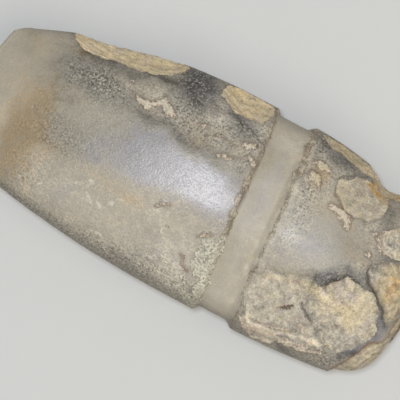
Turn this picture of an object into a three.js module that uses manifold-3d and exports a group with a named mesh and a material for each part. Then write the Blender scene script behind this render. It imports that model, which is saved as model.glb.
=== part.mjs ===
// The head of a polished stone axe with a groove all the way round for its haft, lying on one face.
// Units are millimetres. +X runs from the cutting edge to the poll, +Y across the face and +Z up,
// and the origin is on the ground under the middle of the head. The shape is worked out about the
// head's own middle plane and lowered onto the ground at the end.
import * as THREE from "three";
import { mergeVertices } from "three/addons/utils/BufferGeometryUtils.js";
import Module from "manifold-3d";

// The blank, before it tapers and is cut
const LENGTH = 171.5;
const BIT_X = -LENGTH / 2;
const POLL_X = LENGTH / 2;
const HALF_WIDTH = 38;
const HALF_HEIGHT = 25;
const FULLNESS = 2.3; // exponent of the section: 2 is an ellipse, more is squarer

// How the blank tapers: from and to are stations, drop is how much is lost by the second one
const LEFT_TO_BIT = { from: 0, to: -65, drop: 9.7, power: 1.9 }; // left is +Y
const LEFT_TO_POLL = { from: 31, to: 60, drop: 4.6, power: 1.4 };
const RIGHT_TO_BIT = { from: 15, to: -60, drop: 6.3, power: 2.24 };
const RIGHT_TO_POLL = { from: 38, to: POLL_X, drop: 4.2, power: 1.5 };
const FACE_TO_BIT = { from: 8, to: -69, drop: 15.4, power: 2 };
const FACE_TO_POLL = { from: 38, to: POLL_X, drop: 3.4, power: 1.6 };

// The cutting edge: a rounded line with a bevel behind it, bowed back towards its corners
const EDGE_RADIUS = 1.3;
const BEVEL_SLOPE = Math.tan(THREE.MathUtils.degToRad(29));
const BOW = 0.0064; // millimetres of setback for each square millimetre from the bow's middle
const BOW_MIDDLE_Y = -3;
const BOW_FADE = 26;
const EDGE_CORNER = 2;
const EDGE_CORNER_LENGTH = 4;

// The poll: a squarish dome
const DOME_LENGTH = 26;
const DOME_SQUARENESS = 4.2;

// The groove, whose middle line slants and bends, with a steep bank towards the bit and a gentle
// one towards the poll. Banks start and end at distances from the middle line.
const GROOVE_X = 22.2;
const GROOVE_SLANT = -0.055; // millimetres along X for each millimetre along Y
const GROOVE_BEND = 0.0008; // and for each square millimetre to the right
const BIT_BANK = [5.7, 8.1];
const POLL_BANK = [4, 7.9];
const GROOVE_DEPTH_FACES = 2.2;
const GROOVE_DEPTH_EDGES = 2;

// The ground facet on the upper face, which falls away to the right of a slanting crease
const CREASE_Y = -5.5;
const CREASE_SLANT = 0.13;
const FACET_SLOPE = Math.tan(THREE.MathUtils.degToRad(20));
const FACET_BLEND = 1;

// Flats, each a plane that faces one way at a distance from the head's middle. One is ground on the
// lower face so that the head lies still, and four small seats in the groove's floor take a haft.
const REST_DISTANCE = 24.3;
const SEAT_LENGTH = 8;
const SEAT_WIDTH = 26;
const SEAT_RELIEF_FACES = 0.6; // below the groove's floor
const SEAT_RELIEF_EDGES = 0.4;
const FACE_SEAT = HALF_HEIGHT - GROOVE_DEPTH_FACES - SEAT_RELIEF_FACES;
const EDGE_SEAT = HALF_WIDTH - GROOVE_DEPTH_EDGES - SEAT_RELIEF_EDGES;
const SEAT_X = -0.8; // from the middle line, as the floor reaches further towards the bit
const FLATS = [
  { faces: [0, 0, -1], distance: REST_DISTANCE, x: 0, long: 2 * LENGTH, wide: LENGTH },
  { faces: [0, 0, 1], distance: FACE_SEAT, x: GROOVE_X + SEAT_X, long: SEAT_LENGTH, wide: SEAT_WIDTH },
  { faces: [0, 0, -1], distance: FACE_SEAT, x: GROOVE_X + SEAT_X, long: SEAT_LENGTH, wide: SEAT_WIDTH },
  ...[1, -1].map((side) => ({
    faces: [0, side, 0],
    distance: EDGE_SEAT,
    x: grooveMiddle(side * HALF_WIDTH) + SEAT_X,
    long: SEAT_LENGTH,
    wide: SEAT_WIDTH,
  })),
];

// Flake scars, each a shallow bowl struck from the skin: its station, its angle round the section
// (0 is +Y, 90 is up), its half length and half width, its depth, and its turn away from X
const SCARS = [
  { x: -42.5, angle: 15, long: 22, wide: 12, deep: 3.2, turn: 0 }, // long flake on the left edge
  { x: 2.2, angle: 24, long: 10, wide: 9, deep: 2.3, turn: 0 }, // flake on the left edge
  { x: 43, angle: 20, long: 14, wide: 6, deep: 1.1, turn: -3 }, // flake on the left edge
  { x: 50.5, angle: 50, long: 10, wide: 7, deep: 1, turn: 10 }, // flat flake on the poll
  { x: 64, angle: 124, long: 13, wide: 12, deep: 1.8, turn: 25 }, // large flake on the poll
  { x: 43, angle: 133, long: 12, wide: 11, deep: 1.1, turn: 0 }, // battered hollow by the groove
  { x: 79, angle: 146, long: 10, wide: 10, deep: 2.4, turn: 0 }, // step at the poll's corner
  { x: 76, angle: 92, long: 8, wide: 10, deep: 1.4, turn: 0 }, // end flake
  { x: 58, angle: -38, long: 16, wide: 11, deep: 2, turn: 15 }, // flake on the lower face
  { x: -32, angle: -154, long: 17, wide: 9, deep: 1.6, turn: 5 }, // flake on the right edge
  { x: 8, angle: -160, long: 8, wide: 6, deep: 1.1, turn: -8 }, // flake on the right edge
  { x: 74, angle: -120, long: 12, wide: 14, deep: 1.8, turn: 20 }, // flake under the poll
];
const BOWL_FLATNESS = 6; // a bowl's radius across its depth, in depths

// The break at the poll's left corner, in plan: one face runs along the head, and the other ramps
// up from it to the old edge
const CORNER = [57.3, 30.2];
const CORNER_RAMP = 0.68; // how far the ramp rises for each millimetre towards the bit

// How finely the surfaces are cut up
const SECTION_SIDES = 60;
const DOME_RINGS = 12;
const BOWL_SIDES = 36;

function taper(x, { from, to, drop, power }) {
  return drop * Math.max((x - from) / (to - from), 0) ** power;
}

// How far inside the plan's edge the rounded corners of the cutting edge keep.
function cornerInset(x) {
  return EDGE_CORNER * Math.max(1 - (x - BIT_X) / EDGE_CORNER_LENGTH, 0) ** 2;
}

function leftWidth(x) {
  return HALF_WIDTH - taper(x, LEFT_TO_BIT) - taper(x, LEFT_TO_POLL) - cornerInset(x);
}

function rightWidth(x) {
  return HALF_WIDTH - taper(x, RIGHT_TO_BIT) - taper(x, RIGHT_TO_POLL) - cornerInset(x);
}

// Half the thickness at a station: the face's long curve, the bevel or the rounded cutting edge.
function halfThickness(x) {
  const fromEdge = x - BIT_X;
  if (fromEdge < EDGE_RADIUS) return Math.sqrt(EDGE_RADIUS ** 2 - (EDGE_RADIUS - fromEdge) ** 2);
  const bevel = EDGE_RADIUS + BEVEL_SLOPE * (fromEdge - EDGE_RADIUS);
  return Math.min(bevel, HALF_HEIGHT - taper(x, FACE_TO_BIT) - taper(x, FACE_TO_POLL));
}

// The lesser of two heights, with the corner between them rounded over the given width.
function softMin(a, b, blend) {
  const overlap = Math.max(blend - Math.abs(a - b), 0) / blend;
  return Math.min(a, b) - (overlap * overlap * blend) / 4;
}

function signedPower(value, exponent) {
  return Math.sign(value) * Math.abs(value) ** exponent;
}

// The station of the groove's middle line.
function grooveMiddle(y) {
  return GROOVE_X + GROOVE_SLANT * y + GROOVE_BEND * Math.min(y, 0) ** 2;
}

// How much of the groove's depth a point has, from 0 outside it to 1 on its floor.
function grooveShare(x, y) {
  const off = x - grooveMiddle(y);
  return 1 - THREE.MathUtils.smoothstep(Math.abs(off), ...(off < 0 ? BIT_BANK : POLL_BANK));
}

// A point of the skin at a station, an angle round the section and a share of the full section.
function skin(x, angle, share = 1) {
  const [across, up] = [Math.cos(angle), Math.sin(angle)];
  const halfWidth = share * (across > 0 ? leftWidth(x) : rightWidth(x));
  const halfHeight = share * halfThickness(x);
  let y = halfWidth * signedPower(across, 2 / FULLNESS);
  let z = halfHeight * signedPower(up, 2 / FULLNESS);
  if (up > 0 && halfHeight > 0) {
    const crease = CREASE_Y + CREASE_SLANT * Math.min(x, 0);
    const facet = halfHeight * (1 + (FACET_SLOPE * (y - crease)) / HALF_HEIGHT);
    z = softMin(z, facet, (FACET_BLEND * halfHeight) / HALF_HEIGHT);
  }
  const groove = share === 1 ? grooveShare(x, y) : 0;
  y *= 1 - (groove * GROOVE_DEPTH_EDGES) / HALF_WIDTH;
  z *= 1 - (groove * GROOVE_DEPTH_FACES) / HALF_HEIGHT;
  const bow = BOW * (y - BOW_MIDDLE_Y) ** 2;
  const fade = 1 - THREE.MathUtils.smoothstep(x, BIT_X, BIT_X + BOW_FADE);
  return new THREE.Vector3(x + bow * fade, y, z);
}

// The rings from the cutting edge to the poll, each a station and its share of the full section.
function rings() {
  const list = [];
  const run = (from, to, steps) => {
    for (let i = 0; i < steps; i += 1) list.push([from + ((to - from) * i) / steps, 1]);
  };
  run(BIT_X + 0.1, BIT_X + EDGE_RADIUS, 3);
  run(BIT_X + EDGE_RADIUS, -60, 8);
  run(-60, GROOVE_X - 10, 12);
  run(GROOVE_X - 10, GROOVE_X + 10, 20);
  run(GROOVE_X + 10, POLL_X - DOME_LENGTH, 6);
  for (let i = 0; i < DOME_RINGS; i += 1) {
    const turn = (i / DOME_RINGS) * (Math.PI / 2);
    const along = Math.sin(turn) ** (2 / DOME_SQUARENESS);
    list.push([POLL_X - DOME_LENGTH * (1 - along), Math.cos(turn) ** (2 / DOME_SQUARENESS)]);
  }
  return list;
}

// The blank: rings round the section, which meet in a line at the cutting edge and a point at the
// poll. The line's corners are shared by the upper and lower faces.
function blankGeometry() {
  const points = [];
  const faces = [];
  const half = SECTION_SIDES / 2;
  const angleOf = (j) => (j / SECTION_SIDES) * 2 * Math.PI;
  for (let j = 0; j <= half; j += 1) points.push(...skin(BIT_X, angleOf(j)));
  const stations = rings();
  for (const [x, share] of stations) {
    for (let j = 0; j < SECTION_SIDES; j += 1) points.push(...skin(x, angleOf(j), share));
  }
  points.push(POLL_X, 0, 0);
  const poll = points.length / 3 - 1;
  const edge = (j) => Math.min(j % SECTION_SIDES, SECTION_SIDES - (j % SECTION_SIDES));
  const ring = (i, j) => half + 1 + i * SECTION_SIDES + (j % SECTION_SIDES);
  const last = stations.length - 1;
  for (let j = 0; j < SECTION_SIDES; j += 1) {
    faces.push(edge(j), ring(0, j + 1), ring(0, j), edge(j), edge(j + 1), ring(0, j + 1));
    for (let i = 0; i < last; i += 1) {
      faces.push(ring(i, j), ring(i + 1, j + 1), ring(i + 1, j));
      faces.push(ring(i, j), ring(i, j + 1), ring(i + 1, j + 1));
    }
    faces.push(ring(last, j), ring(last, j + 1), poll);
  }
  return new THREE.BufferGeometry()
    .setAttribute("position", new THREE.Float32BufferAttribute(points, 3))
    .setIndex(faces);
}

// The bowl that a flake leaves: an ellipsoid over the skin that dips into it by the scar's depth.
function bowlGeometry({ x, angle, long, wide, deep, turn }) {
  const round = THREE.MathUtils.degToRad(angle);
  const along = skin(x + 1, round).sub(skin(x - 1, round)).normalize();
  const about = skin(x, round + 0.02).sub(skin(x, round - 0.02)).normalize();
  const outward = new THREE.Vector3().crossVectors(about, along).normalize();
  const sideways = new THREE.Vector3().crossVectors(outward, along);
  const radius = BOWL_FLATNESS * deep;
  const spread = Math.sqrt(1 - (1 - 1 / BOWL_FLATNESS) ** 2);
  return new THREE.SphereGeometry(1, BOWL_SIDES, BOWL_SIDES)
    .scale(long / spread, wide / spread, radius)
    .rotateZ(THREE.MathUtils.degToRad(turn))
    .applyMatrix4(new THREE.Matrix4().makeBasis(along, sideways, outward))
    .translate(...skin(x, round).addScaledVector(outward, radius - deep));
}

// The wedge that is gone from the poll's left corner, through the full thickness.
function cornerGeometry() {
  const [x, y] = CORNER;
  const outline = [
    [x, y],
    [x + LENGTH, y],
    [x + LENGTH, y + HALF_WIDTH],
    [x - HALF_WIDTH / CORNER_RAMP, y + HALF_WIDTH],
  ];
  const shape = new THREE.Shape(outline.map(([a, b]) => new THREE.Vector2(a, b)));
  const options = { depth: LENGTH, bevelEnabled: false };
  return new THREE.ExtrudeGeometry(shape, options).translate(0, 0, -LENGTH / 2);
}

// The block that grinds a flat: it stands on the flat's plane and reaches out past the stone.
function flatGeometry({ faces, distance, x, long, wide }) {
  const outward = new THREE.Vector3(...faces);
  const turned = new THREE.Quaternion().setFromUnitVectors(new THREE.Vector3(0, 0, 1), outward);
  return new THREE.BoxGeometry(long, wide, LENGTH)
    .applyQuaternion(turned)
    .translate(...outward.multiplyScalar(distance + LENGTH / 2).add(new THREE.Vector3(x, 0, 0)));
}

const wasm = await Module();
wasm.setup();

function solidOf(geometry) {
  const merged = mergeVertices(geometry.deleteAttribute("normal").deleteAttribute("uv"));
  const vertProperties = merged.attributes.position.array;
  const triVerts = new Uint32Array(merged.index.array);
  return new wasm.Manifold(new wasm.Mesh({ numProp: 3, vertProperties, triVerts }));
}

// The blank with its scars struck off and its flats ground, lowered so that it lies at the origin.
function axeHeadGeometry() {
  let solid = solidOf(blankGeometry());
  for (const scar of SCARS) solid = solid.subtract(solidOf(bowlGeometry(scar)));
  solid = solid.subtract(solidOf(cornerGeometry()));
  for (const flat of FLATS) solid = solid.subtract(solidOf(flatGeometry(flat)));
  const { vertProperties, triVerts } = solid.getMesh();
  const geometry = new THREE.BufferGeometry()
    .setAttribute("position", new THREE.Float32BufferAttribute(vertProperties, 3))
    .setIndex(new THREE.Uint32BufferAttribute(triVerts, 1));
  geometry.computeVertexNormals();
  geometry.computeBoundingBox();
  const { min, max } = geometry.boundingBox;
  return geometry.translate(-(min.x + max.x) / 2, -(min.y + max.y) / 2, -min.z);
}

const stone = new THREE.MeshStandardMaterial({ color: 0x8d8676, roughness: 0.45, metalness: 0 });
const axeHead = new THREE.Mesh(axeHeadGeometry(), stone);
axeHead.name = "axe_head";

export default new THREE.Group().add(axeHead);
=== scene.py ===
"""The looks of a polished stone axe head: ground facets, haft groove, flake scars, crust and stains.

Shapes are worked out in millimetres about the head's own middle plane, with +X towards the poll, +Y
to the left and +Z up, and are lowered onto the ground and turned into metres when the mesh is made.
"""
import math
from types import SimpleNamespace

import bmesh
import bpy
import numpy as np
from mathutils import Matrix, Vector


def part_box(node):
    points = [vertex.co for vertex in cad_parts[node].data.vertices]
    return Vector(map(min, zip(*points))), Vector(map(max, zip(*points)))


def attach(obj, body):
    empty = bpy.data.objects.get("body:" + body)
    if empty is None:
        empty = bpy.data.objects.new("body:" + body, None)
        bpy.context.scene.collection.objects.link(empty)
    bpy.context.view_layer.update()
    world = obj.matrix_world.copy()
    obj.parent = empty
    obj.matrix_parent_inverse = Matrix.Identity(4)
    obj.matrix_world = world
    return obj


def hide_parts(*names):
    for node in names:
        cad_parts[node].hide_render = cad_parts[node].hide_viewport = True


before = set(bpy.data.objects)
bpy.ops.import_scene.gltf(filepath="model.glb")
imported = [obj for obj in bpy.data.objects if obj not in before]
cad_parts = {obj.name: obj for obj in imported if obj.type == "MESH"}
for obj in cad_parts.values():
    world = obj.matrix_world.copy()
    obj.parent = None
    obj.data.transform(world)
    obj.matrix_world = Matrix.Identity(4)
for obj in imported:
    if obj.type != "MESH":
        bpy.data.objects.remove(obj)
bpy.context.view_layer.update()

MM = 0.001
LOW, HIGH = (np.array(corner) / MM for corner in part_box("axe_head"))
BIT_X, POLL_X = LOW[0], HIGH[0]
HALF_WIDTH = (HIGH[1] - LOW[1]) / 2
HALF_HEIGHT = 25.0
REST_DISTANCE = HIGH[2] - LOW[2] - HALF_HEIGHT  # the ground lies this far below the middle plane

# The blank: its section, and how it tapers as (start, end, drop by the end, power)
FULLNESS = 2.3  # the section's power: 2 is an ellipse, and more is squarer
LEFT_TO_BIT = (0, -65, 9.7, 1.9)
LEFT_TO_POLL = (31, 60, 4.6, 1.4)
RIGHT_TO_BIT = (15, -60, 6.3, 2.24)
RIGHT_TO_POLL = (38, POLL_X, 4.2, 1.5)
FACE_TO_BIT = (8, -69, 15.4, 2)
FACE_TO_POLL = (38, POLL_X, 3.4, 1.6)
EDGE_RADIUS = 1.3
BEVEL_SLOPE = math.tan(math.radians(29))
BEVEL_BLEND = 1.5
BOW = 0.0064  # how far the cutting edge curves back, for each square millimetre off its middle
BOW_MIDDLE_Y = -3
BOW_FADE = 26  # the bow is gone this far from the cutting edge
EDGE_CORNER = 2  # how much narrower each side is at the cutting edge's corner
EDGE_CORNER_LENGTH = 4
DOME_LENGTH = 26
DOME_SQUARENESS = 4.2

# The groove, with a steep bank towards the bit and a gentle one towards the poll
GROOVE_X = 22.2
GROOVE_SLANT = -0.055
GROOVE_BEND = 0.0008
BIT_BANK = (5.7, 8.1)  # where a bank starts and ends, from the groove's middle line
POLL_BANK = (4.0, 7.9)
GROOVE_DEPTH_FACES = 2.2
GROOVE_DEPTH_EDGES = 2

# The ground facet right of a slanting crease
CREASE_Y = -5.5
CREASE_SLANT = 0.13
FACET_SLOPE = math.tan(math.radians(20))
FACET_BLEND = 1.0

# The grid over the stone
STATIONS = 430
TURNS = 229
LOWER_SHARE = 0.55  # how closely the lower face is cut up, against 1 for the upper one


def smoothstep(value, low, high):
    """0 below low, 1 above high, and 3tt - 2ttt between them, where t is the share of the way."""
    t = np.clip((value - low) / (high - low), 0, 1)
    return t * t * (3 - 2 * t)


def soft_min(a, b, blend):
    """The lesser of two values, less a quarter of blend where they are equal, so the corner is round."""
    blend = np.maximum(blend, 1e-6)
    overlap = np.clip(blend - np.abs(a - b), 0, None) / blend
    return np.minimum(a, b) - overlap * overlap * blend / 4


# ---- Random relief ---------------------------------------------------------------------------------

LATTICE_SIDE = 32
LATTICE = np.random.default_rng(11).uniform(-1, 1, (LATTICE_SIDE,) * 3)


def relief(points, size, seed=0, octaves=2):
    """Smooth random values from -1 to 1: random numbers on a cubic lattice with the given spacing,
    joined by smoothsteps. Each further octave halves the spacing and the strength."""
    total, strength, reach = 0, 1, 0
    for octave in range(octaves):
        place = points * (2**octave / size) + 7.31 * (seed + 3 * octave) + np.array([0.37, 5.11, 2.73])
        cell = np.floor(place).astype(int)
        part = place - cell
        part = part * part * (3 - 2 * part)
        value = 0
        for corner in np.ndindex(2, 2, 2):
            weight = np.prod(np.where(corner, part, 1 - part), axis=-1)
            near = (cell + corner) % LATTICE_SIDE
            value = value + weight * LATTICE[near[..., 0], near[..., 1], near[..., 2]]
        total, reach = total + strength * value, reach + strength
        strength /= 2
    return total / reach


def ridged(points, size, seed=0, octaves=2):
    """Random creases from 0 in the valleys to 1 on sharp crests: 1 less the size of the relief."""
    return 1 - np.abs(relief(points, size, seed, octaves)) / 0.6


def warped(points, warps):
    """The points moved by each warp in turn: along each axis, by relief of its size times its amount."""
    for size, amount, seed in warps:
        shifts = [relief(points, size, seed + axis) for axis in range(3)]
        points = points + amount * np.stack(shifts, axis=-1)
    return points


# ---- The blank -------------------------------------------------------------------------------------


def taper(x, start, end, drop, power):
    """The size lost past start: drop times the given power of the way from start to end."""
    return drop * np.clip((x - start) / (end - start), 0, None) ** power


def dome_share(x):
    """The share of the full section that the poll's dome leaves: a superellipse along its length."""
    along = np.clip((x - POLL_X + DOME_LENGTH) / DOME_LENGTH, 0, 1)
    return (1 - along**DOME_SQUARENESS) ** (1 / DOME_SQUARENESS)


def half_width(x, left):
    """Half the width on one side, less what the tapers and the cutting edge's corners take."""
    corner = EDGE_CORNER * np.clip(1 - (x - BIT_X) / EDGE_CORNER_LENGTH, 0, None) ** 2
    leftward = HALF_WIDTH - taper(x, *LEFT_TO_BIT) - taper(x, *LEFT_TO_POLL)
    rightward = HALF_WIDTH - taper(x, *RIGHT_TO_BIT) - taper(x, *RIGHT_TO_POLL)
    return dome_share(x) * (np.where(left, leftward, rightward) - corner)


def half_thickness(x):
    """Half the thickness: the face's long curve or the bevel's line, whichever is less, and a quarter
    circle at the cutting edge."""
    inside = x - BIT_X
    bevel = EDGE_RADIUS + BEVEL_SLOPE * (inside - EDGE_RADIUS)
    face = HALF_HEIGHT - taper(x, *FACE_TO_BIT) - taper(x, *FACE_TO_POLL)
    rounded = np.sqrt(np.clip(EDGE_RADIUS**2 - (EDGE_RADIUS - np.minimum(inside, EDGE_RADIUS)) ** 2, 0, None))
    return dome_share(x) * np.where(inside < EDGE_RADIUS, rounded, soft_min(bevel, face, BEVEL_BLEND))


def groove_offset(x, y):
    """How far a point is from the groove's middle line, along X. The line slants, and bends towards
    the poll on the right."""
    return x - GROOVE_X - GROOVE_SLANT * y - GROOVE_BEND * np.minimum(y, 0) ** 2


def groove_share(offset):
    """1 on the groove's floor and 0 outside its banks."""
    return 1 - np.where(offset < 0, smoothstep(-offset, *BIT_BANK), smoothstep(offset, *POLL_BANK))


def skin(x, turn):
    """A point of the smooth blank at a station and an angle round the section, where 0 is +Y and a
    quarter turn is +Z. The section is a superellipse, cut by the ground facet, scaled in by the
    groove and bowed back towards the corners of the cutting edge."""
    x, turn = np.broadcast_arrays(np.asarray(x, float), np.asarray(turn, float))
    across, up = np.cos(turn), np.sin(turn)
    wide, high = half_width(x, across > 0), half_thickness(x)
    y = wide * np.sign(across) * np.abs(across) ** (2 / FULLNESS)
    z = high * np.sign(up) * np.abs(up) ** (2 / FULLNESS)
    crease = CREASE_Y + CREASE_SLANT * np.minimum(x, 0)
    facet = high * (1 + FACET_SLOPE * (y - crease) / HALF_HEIGHT)
    z = np.where(up > 0, soft_min(z, facet, FACET_BLEND * high / HALF_HEIGHT), z)
    groove = groove_share(groove_offset(x, y))
    y = y * (1 - groove * GROOVE_DEPTH_EDGES / HALF_WIDTH)
    z = z * (1 - groove * GROOVE_DEPTH_FACES / HALF_HEIGHT)
    bow = BOW * (y - BOW_MIDDLE_Y) ** 2 * (1 - smoothstep(x, BIT_X, BIT_X + BOW_FADE))
    return np.stack([x + bow, y, z], axis=-1)


def evenly(values, steps, count):
    """count of the values, chosen so that the steps between each two add up to the same amount."""
    travelled = np.concatenate([[0], np.cumsum(steps)])
    return np.interp(np.linspace(0, travelled[-1], count), travelled, values)


def stations():
    """Places along the head, closer together at the groove and over the chipped poll."""
    x = BIT_X + (POLL_X - BIT_X) * np.sin(np.linspace(0, math.pi / 2, 6000))
    length = np.hypot(np.diff(x), 0.5 * np.diff(half_thickness(x)) + 0.5 * np.diff(half_width(x, True)))
    middle = (x[1:] + x[:-1]) / 2
    closeness = 0.85 + 0.5 * (np.abs(middle - GROOVE_X) < 10) + 0.3 * (middle > GROOVE_X)
    return evenly(x, length * closeness, STATIONS)


def turns():
    """Angles round the section, from the left edge over the upper face and back under it."""
    turn = np.linspace(0, 2 * math.pi, 4000)
    section = skin(0, turn)
    length = np.linalg.norm(np.diff(section, axis=0), axis=1)
    return evenly(turn, length * np.where(turn[1:] < math.pi, 1, LOWER_SHARE), TURNS)[:-1]


def outward_of(grid):
    """Unit normals of a closed grid: the cross product of its two directions, and straight along X
    where it closes at the cutting edge and the poll."""
    ringed = np.concatenate([grid[:, -1:], grid, grid[:, :1]], axis=1)
    round_it = np.gradient(ringed, axis=1)[:, 1:-1]
    along_it = np.gradient(grid, axis=0)
    normal = np.cross(round_it, along_it)
    normal /= np.maximum(np.linalg.norm(normal, axis=-1, keepdims=True), 1e-9)
    normal[0], normal[-1] = (-1, 0, 0), (1, 0, 0)
    return normal


# ---- Measuring places on the stone -----------------------------------------------------------------


def run(points, path):
    """How far each point is inside a line of patches, in plan: the half width at the nearest place of
    a path of (x, y, half width), less the distance to it."""
    plan = points[..., :2]
    path = np.array(path, float)
    best = path[0, 2] - np.linalg.norm(plan - path[0, :2], axis=-1)
    for (*start, wide), (*end, narrow) in zip(path, path[1:]):
        line = np.subtract(end, start)
        share = np.clip((plan - start) @ line / (line @ line), 0, 1)
        gap = np.linalg.norm(plan - start - share[..., None] * line, axis=-1)
        best = np.maximum(best, wide + share * (narrow - wide) - gap)
    return best


def runs(points, paths):
    """The deepest that each point is inside any of several runs."""
    return np.max([run(points, path) for path in paths], axis=0)


def beside(points, outline, closed=True):
    """How far each point lies to the left of a line in plan, less than 0 on its right. A closed
    outline is drawn anticlockwise, so its inside counts as left."""
    outline = np.array(outline, float)
    ends = np.roll(outline, -1, axis=0) if closed else outline[1:]
    x, y = points[..., 0], points[..., 1]
    best, within = np.full(x.shape, 1e6), np.zeros(x.shape, int)
    side = np.ones(x.shape)
    for (x0, y0), (x1, y1) in zip(outline, ends):
        dx, dy = x1 - x0, y1 - y0
        share = np.clip(((x - x0) * dx + (y - y0) * dy) / (dx * dx + dy * dy), 0, 1)
        gap = np.hypot(x - x0 - share * dx, y - y0 - share * dy)
        turned = dx * (y - y0) - dy * (x - x0)
        side = np.where(gap < best, np.sign(turned), side)
        best = np.minimum(best, gap)
        within += np.where((y0 <= y) & (y1 > y) & (turned > 0), 1, 0)
        within -= np.where((y1 <= y) & (y0 > y) & (turned < 0), 1, 0)
    return best * (np.where(within != 0, 1, -1) if closed else side)


def washes(points, spots):
    """The sum of soft spots in plan, each strongest in its middle: strength times exp(-aa - bb) with a
    and b the shares of its half length and half width."""
    total = np.zeros(points.shape[:-1])
    for x, y, long, wide, turn, strength in spots:
        c, s = math.cos(math.radians(turn)), math.sin(math.radians(turn))
        dx, dy = points[..., 0] - x, points[..., 1] - y
        total += strength * np.exp(-(((dx * c + dy * s) / long) ** 2) - ((dy * c - dx * s) / wide) ** 2)
    return total


# ---- Flakes knocked off the edges ------------------------------------------------------------------

# Station, angle round the section, half length, half width, depth, twist, how blunt its ends are, its
# tone from 0, grey cream, to 1, orange, and how much lighter it is in stops
EDGE_FLAKES = {
    "long left flake": (-42.5, 14.5, 22.9, 17, 4.0, 0, 4, 0.58, 0.45),
    "left flake by groove": (2.2, 24, 10.0, 12.5, 2.8, 0, 3, 0.62, 0.35),
    "left edge of poll": (43, 20, 14.0, 6, 1.1, -3, 3, 0.5, 0.05),
    "lower flake on poll": (58, -38, 17, 12, 2.0, 15, 2, 0.3, -0.1),
    "lower flake on right edge": (-32, -154, 19, 10, 1.6, 5, 2, 0.2, -0.1),
    "small flake on right edge": (8, -160, 9, 7, 1.1, -8, 2, 0.2, -0.1),
    "flake under poll": (74, -120, 13, 16, 2.0, 20, 2, 0.3, -0.1),
}


def flake(points, x, turn, long, wide, deep, twist, bluntness):
    """How far each point lies above the hollow that a flake left, and the way out of it. The hollow
    lies its depth below the blank's tangent plane, and rises to it with a power of the way out. Points
    over half the half height below that plane are on the stone's far side, and are left alone."""
    turn, step = math.radians(turn), 0.5
    along = skin(x + step, turn) - skin(x - step, turn)
    about = skin(x, turn + 0.02) - skin(x, turn - 0.02)
    outward = np.cross(about, along)
    along, outward = along / np.linalg.norm(along), outward / np.linalg.norm(outward)
    across = np.cross(outward, along)
    c, s = math.cos(math.radians(twist)), math.sin(math.radians(twist))
    off = points - skin(x, turn)
    a, b = off @ (along * c + across * s), off @ (across * c - along * s)
    rise = off @ outward
    hollow = deep * (1 - np.abs(a / long) ** bluntness - np.abs(b / wide) ** bluntness)
    far_side = 100 * np.clip(-rise / HALF_HEIGHT - 0.5, 0, None)
    return rise + hollow - far_side, outward


CORNER_Y = 30.2  # the break at the poll's left corner runs along the head here
CORNER_X = 57.3
CORNER_RAMP = 0.68
CORNER_ROUNDING = 0.012
CORNER_MARKS = (0.5, 0.0)  # its tone and lightness
SCAR_SPREAD = 1.6  # how far a point is inside a scar, against its height over the hollow
FLAKE_LUMPS = 0.12
# Painted shade and grime round the edge flakes' scars, darkest at their rims
FLAKE_GRIME_AND_SHADE = 0.8  # in stops, with its width
FLAKE_GRIME_AND_SHADE_WIDTH = 1.5
NOWHERE = -50  # how far inside a scar a point is that can't be in it


def corner_break(points):
    """Height over the break at the poll's left corner, and the way out of it. One face runs along the
    head and the other ramps up to the old edge, and what is above both is gone."""
    x, y, z = np.moveaxis(points, -1, 0)
    flat = y - CORNER_Y + CORNER_ROUNDING * z * z
    steepness = math.hypot(1, CORNER_RAMP)
    ramp = (flat + CORNER_RAMP * (x - CORNER_X)) / steepness
    on_ramp = (ramp < flat)[..., None]
    outward = np.where(on_ramp, (CORNER_RAMP / steepness, 1 / steepness, 0), (0.0, 1.0, 0.0))
    return np.minimum(flat, ramp), outward


def knock_off_edges(grid, ragged):
    """The grid with the edge flakes gone, and the first fields of the finish: how far each point is
    inside a scar, the scar's tone, lightness and lumps, and how far it is inside a scar of the face."""
    gone, tone, light = np.zeros((3, *grid.shape[:-1]))
    inside = np.full(gone.shape, float(NOWHERE))
    hits = [(flake(ragged, *how[:-2]), how[-2:]) for how in EDGE_FLAKES.values()]
    hits.append((corner_break(ragged), CORNER_MARKS))
    for (height, outward), (its_tone, its_light) in hits:
        further = np.clip(height - gone, 0, None)
        grid = grid - further[..., None] * outward
        gone = np.maximum(gone, height)
        tone = np.where(height > inside, its_tone, tone)
        light = np.where(height > inside, its_light, light)
        inside = np.maximum(inside, height)
    fracture = SCAR_SPREAD * inside
    lumps = FLAKE_LUMPS * (fracture > 0)
    return grid, {"fracture": fracture, "tone": tone, "light": light, "lumps": lumps, "ripple": 0 * fracture}


# ---- Scars on the upper face -----------------------------------------------------------------------

# Outlines in plan, drawn anticlockwise
PEBBLE_SCAR = [
    (40.4, 25), (42.4, 20.8), (47.5, 16.7), (51, 16), (57.5, 17.2), (60.4, 20.5), (60.5, 24.5), (58.9, 29),
    (54, 29.8), (47.5, 29.4), (44.5, 26.7),
]
GREAT_SCAR = [
    (65.2, -4), (59.4, -3.2), (56.5, -6), (54, -9.8), (51.4, -10.5), (50.1, -16.1), (53.1, -20.5),
    (59.4, -26.3), (64.2, -28.8), (69.1, -28.3), (73.5, -23.9), (76.9, -17.6), (77.2, -14.7), (74.4, -8.4),
    (70.5, -4.8),
]
BATTERED_SCAR = [
    (30.2, -19.6), (30.4, -24), (32.4, -30.2), (35.5, -35.5), (40, -37), (47.8, -35.8), (49.2, -33.2),
    (58.2, -31.8), (64.2, -29.8), (62, -25), (54, -12), (51, -9), (46, -9.2), (41, -11.3), (34.2, -13.2),
    (33, -15.8), (30.7, -17.2),
]
END_SCAR = [
    (65.2, 4.3), (64.9, 1.5), (66.5, -1.6), (71, -4.5), (74.6, -7), (79.2, -12.5), (81, -8), (84, 2),
    (84, 9),
    (77, 10.5), (70.5, 8.2), (67, 6.3),
]
WEATHERED_SCAR = [
    (63.6, 16.5), (62.8, 14.2), (64.6, 11), (68, 9), (74, 9.8), (82, 12), (82, 24), (72, 24), (67.5, 21.5),
    (66, 18.5),
]
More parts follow.
